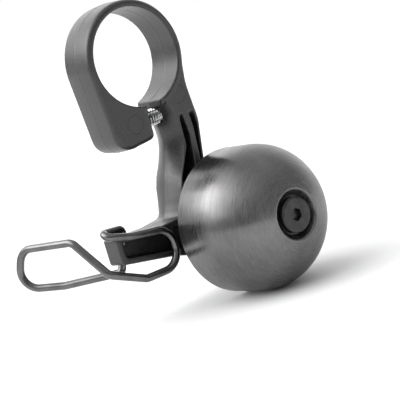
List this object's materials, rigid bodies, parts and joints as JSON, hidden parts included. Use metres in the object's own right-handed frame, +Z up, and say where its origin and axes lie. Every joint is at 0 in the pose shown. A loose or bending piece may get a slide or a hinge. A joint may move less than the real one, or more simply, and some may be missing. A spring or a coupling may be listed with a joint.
{
  "type": "bicycle bell",
  "caption": "Mini bicycle bell: brushed metal dome screwed to a black moulded handlebar clamp, rung by a sprung bent-wire striker with a finger loop.",
  "frame": {"origin": "centre of the clamp's handlebar bore, midway along its width", "axes": "+X along the handlebar towards the crown of the dome, +Z up from the bell to the clamp, +Y away from the finger loop"},
  "size_m": [0.0495, 0.0586, 0.0706],
  "materials": {
    "moulded_black": "satin black injection-moulded plastic",
    "brushed_gunmetal": "brushed round the dome, dark gunmetal plating",
    "black_steel": "satin black",
    "seat_rubber": "matt",
    "insert_brass": "machined",
    "zinc_steel": "bright zinc plate",
    "black_wire": "semi-gloss black-plated spring wire"
  },
  "bodies": {
    "bracket": {"clamp_body": "moulded_black", "bell_dome": "brushed_gunmetal", "bell_screw": "black_steel", "bell_washer": "black_steel", "seat_washer": "seat_rubber", "hub_insert": "insert_brass", "clamp_nut": "zinc_steel"},
    "striker": {"striker_wire": "black_wire"},
    "screw": {"clamp_screw": "zinc_steel"}
  },
  "joints": [
    {"name": "striker_hinge", "type": "hinge", "parent": "bracket", "child": "striker", "pos_m": [0.00265, -0.0167, -0.03915], "axis": [0, 0.3584, 0.9336], "range_deg": [-14, 3], "stiffness_Nm_per_rad": 0.06},
    {"name": "clamp_screw_turn", "type": "hinge", "parent": "bracket", "child": "screw", "pos_m": [0, 0, -0.0143], "axis": [0, 1, 0], "continuous": true}
  ]
}
